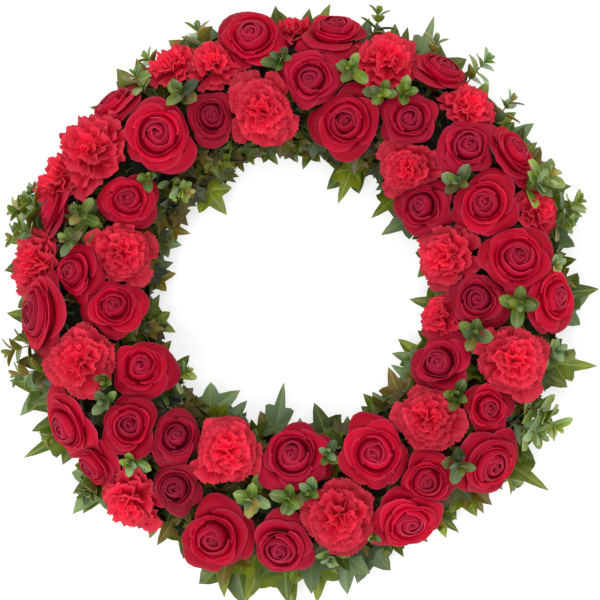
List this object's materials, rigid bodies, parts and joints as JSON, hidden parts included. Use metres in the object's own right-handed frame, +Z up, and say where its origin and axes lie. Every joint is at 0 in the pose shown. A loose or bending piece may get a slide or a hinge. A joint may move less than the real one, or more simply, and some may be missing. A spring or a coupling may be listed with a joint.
{
  "type": "floral wreath",
  "caption": "Round funeral wreath that lies flat: roses and carnations set close together in a ring of floral foam on a shallow tray, edged inside and out with ivy.",
  "frame": {"origin": "centre of the ring, on the underside of the tray, which lies on the ground", "axes": "+Z up out of the flowers as the wreath lies, +X to the right and +Y to the top of the wreath as it is read from above"},
  "size_m": [0.5591, 0.5604, 0.1094],
  "materials": {
    "rose_petal": "velvety petal",
    "dark_rose_petal": "velvety petal",
    "carnation_petal": "matte petal",
    "ivy_leaf": "waxy leaf",
    "floral_foam": "matte foam",
    "tray_plastic": "satin"
  },
  "bodies": {
    "root": {"rose_01": "rose_petal", "rose_02": "rose_petal", "rose_03": "dark_rose_petal", "rose_04": "rose_petal", "rose_05": "rose_petal", "rose_06": "dark_rose_petal", "rose_07": "rose_petal", "rose_08": "rose_petal", "rose_09": "rose_petal", "rose_10": "rose_petal", "rose_11": "rose_petal", "rose_12": "rose_petal", "rose_13": "rose_petal", "rose_14": "rose_petal", "rose_15": "rose_petal", "rose_16": "dark_rose_petal", "rose_17": "rose_petal", "rose_18": "dark_rose_petal", "rose_19": "rose_petal", "rose_20": "dark_rose_petal", "rose_21": "dark_rose_petal", "rose_22": "rose_petal", "rose_23": "rose_petal", "rose_24": "rose_petal", "rose_25": "rose_petal", "rose_26": "rose_petal", "rose_27": "dark_rose_petal", "rose_28": "dark_rose_petal", "rose_29": "rose_petal", "rose_30": "rose_petal", "rose_31": "rose_petal", "rose_32": "dark_rose_petal", "rose_33": "dark_rose_petal", "rose_34": "rose_petal", "rose_35": "dark_rose_petal", "rose_36": "rose_petal", "carnation_01": "carnation_petal", "carnation_02": "carnation_petal", "carnation_03": "carnation_petal", "carnation_04": "carnation_petal", "carnation_05": "carnation_petal", "carnation_06": "carnation_petal", "carnation_07": "carnation_petal", "carnation_08": "carnation_petal", "carnation_09": "carnation_petal", "carnation_10": "carnation_petal", "carnation_11": "carnation_petal", "carnation_12": "carnation_petal", "carnation_13": "carnation_petal", "carnation_14": "carnation_petal", "carnation_15": "carnation_petal", "carnation_16": "carnation_petal", "carnation_17": "carnation_petal", "carnation_18": "carnation_petal", "carnation_19": "carnation_petal", "carnation_20": "carnation_petal", "foam_ring": "floral_foam", "base_tray": "tray_plastic", "ivy_trail_outer": "ivy_leaf", "ivy_trail_inner": "ivy_leaf"}
  },
  "joints": []
}
